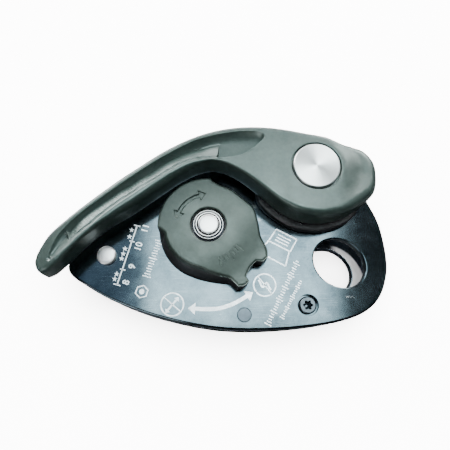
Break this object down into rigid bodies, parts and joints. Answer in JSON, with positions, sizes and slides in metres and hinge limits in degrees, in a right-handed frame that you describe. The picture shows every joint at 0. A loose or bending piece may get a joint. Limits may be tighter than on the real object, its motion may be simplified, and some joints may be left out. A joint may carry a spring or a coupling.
{
  "type": "rope descender",
  "caption": "Assisted-braking rope descender with two side plates, a pivoting rope cam, a forked mode knob and a folding release handle on a round hub.",
  "frame": {"origin": "cam axle's axis at the outer face of the rear plate", "axes": "+X from the handle's tip to the attachment hole, +Y towards the handle's arched edge, +Z out of the front plate along the axles"},
  "size_m": [0.1142, 0.066, 0.0344],
  "materials": {
    "anodised_plate": "satin black anodised",
    "moulded_green": "grey-green glass-filled nylon",
    "moulded_black": "black nylon",
    "stainless": "bright stainless steel",
    "turned_steel": "turned steel",
    "spring_steel": "dull spring steel",
    "bronze": "sintered bronze",
    "thrust_plastic": "natural acetal",
    "spacer_alloy": "machined"
  },
  "bodies": {
    "front_assembly": {"front_plate": "anodised_plate", "friction_plate": "stainless", "guide_rivet": "stainless", "friction_pin": "spring_steel", "spacer_block": "spacer_alloy", "spacer_screw": "stainless", "cam_axle": "turned_steel", "knob_washer": "spring_steel", "rear_thrust_washer": "thrust_plastic", "front_thrust_washer": "thrust_plastic", "handle_base": "moulded_black", "base_screw_1": "stainless", "base_screw_2": "stainless", "base_screw_3": "stainless", "handle_axle": "turned_steel", "head_washer": "thrust_plastic", "axle_washer": "stainless", "axle_circlip": "spring_steel"},
    "rear_plate": {"rear_plate": "anodised_plate", "plate_stop_stud": "stainless"},
    "cam": {"cam": "stainless", "cam_bush": "bronze", "cam_spring": "spring_steel", "cam_drive_plate": "stainless", "cam_drive_pin": "spring_steel"},
    "selector": {"selector_knob": "moulded_green", "selector_sleeve": "stainless", "detent_ball": "turned_steel", "detent_spring": "spring_steel"},
    "handle": {"handle": "moulded_green", "handle_bush": "bronze", "handle_spring": "spring_steel", "clutch_plate": "stainless", "clutch_spring": "spring_steel", "release_cam": "stainless"}
  },
  "joints": [
    {"name": "rear_plate_swing", "type": "hinge", "parent": "front_assembly", "child": "rear_plate", "pos_m": [0, 0, 0.0015], "axis": [0, 0, 1], "range_deg": [0, 120]},
    {"name": "cam_pivot", "type": "hinge", "parent": "front_assembly", "child": "cam", "pos_m": [0, 0, 0.0095], "axis": [0, 0, 1], "range_deg": [0, 18], "stiffness_Nm_per_rad": 0.2, "springref_deg": -11.46},
    {"name": "selector_turn", "type": "hinge", "parent": "front_assembly", "child": "selector", "pos_m": [0, 0, 0.0236], "axis": [0, 0, 1], "range_deg": [-66, 0]},
    {"name": "handle_pivot", "type": "hinge", "parent": "front_assembly", "child": "handle", "pos_m": [0.0351, 0.0185, 0.028], "axis": [0, 0, 1], "range_deg": [-135, 0], "stiffness_Nm_per_rad": 0.02, "springref_deg": 51.57}
  ]
}
